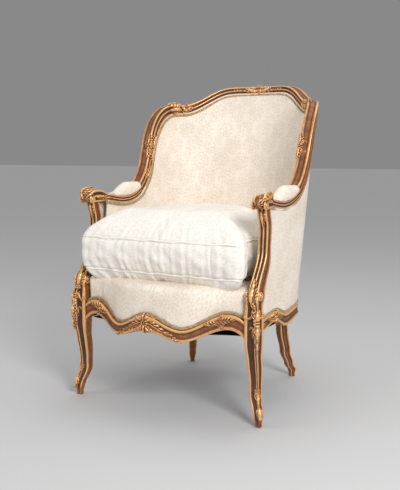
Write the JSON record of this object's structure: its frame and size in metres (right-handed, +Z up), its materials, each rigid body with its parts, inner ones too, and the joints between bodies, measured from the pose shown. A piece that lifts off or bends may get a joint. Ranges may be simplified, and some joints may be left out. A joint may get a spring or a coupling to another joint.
{
  "type": "upholstered bergere armchair",
  "caption": "Round-backed armchair with a carved gilded show frame, cabriole legs, scrolled handholds, stuffed back and sides, padded arms and a loose boxed seat cushion.",
  "frame": {"origin": "on the floor under the middle of the chair", "axes": "+Z up, the chair's front faces -Y, +X to the right as seen from the front"},
  "size_m": [0.6428, 0.7863, 0.9928],
  "materials": {
    "gilt_wood": "worn water gilding over carved wood, satin",
    "bare_wood": "plain sawn beech, matt",
    "damask": "ivory silk damask, soft sheen",
    "cushion_damask": "ivory silk damask over feathers",
    "braid": "woven gold-coloured gimp braid",
    "webbing": "woven jute webbing",
    "hessian": "coarse hessian",
    "dust_cloth": "thin black cotton"
  },
  "bodies": {
    "chair": {"arm_pad_left": "damask", "arm_pad_right": "damask", "arm_rail_left": "gilt_wood", "arm_rail_right": "gilt_wood", "arm_support_left": "gilt_wood", "arm_support_right": "gilt_wood", "arm_tack_rail_left": "bare_wood", "arm_tack_rail_right": "bare_wood", "back_leg_left": "gilt_wood", "back_leg_right": "gilt_wood", "back_seat_rail": "gilt_wood", "back_stile_left": "gilt_wood", "back_stile_right": "gilt_wood", "corner_blocks": "bare_wood", "crest_rail": "gilt_wood", "dust_cover": "dust_cloth", "front_leg_left": "gilt_wood", "front_leg_right": "gilt_wood", "front_seat_rail": "gilt_wood", "inside_arm_braid_left": "braid", "inside_arm_braid_right": "braid", "inside_arm_pad_left": "damask", "inside_arm_pad_right": "damask", "inside_back_braid": "braid", "inside_back_pad": "damask", "loose_tenons": "bare_wood", "lower_back_rail": "bare_wood", "outside_arm_cover_left": "damask", "outside_arm_cover_right": "damask", "outside_back_cover": "damask", "outside_braid": "braid", "seat_deck": "damask", "seat_front_braid": "braid", "seat_hessian": "hessian", "seat_webbing": "webbing", "side_rail_braid_left": "braid", "side_rail_braid_right": "braid", "side_seat_rail_left": "gilt_wood", "side_seat_rail_right": "gilt_wood"},
    "cushion": {"seat_cushion": "cushion_damask", "cushion_welt_bottom": "cushion_damask", "cushion_welt_top": "cushion_damask"}
  },
  "joints": [
    {"name": "cushion_lift", "type": "slide", "parent": "chair", "child": "cushion", "axis": [0, 0, 1], "range_m": [0, 0.65]}
  ]
}
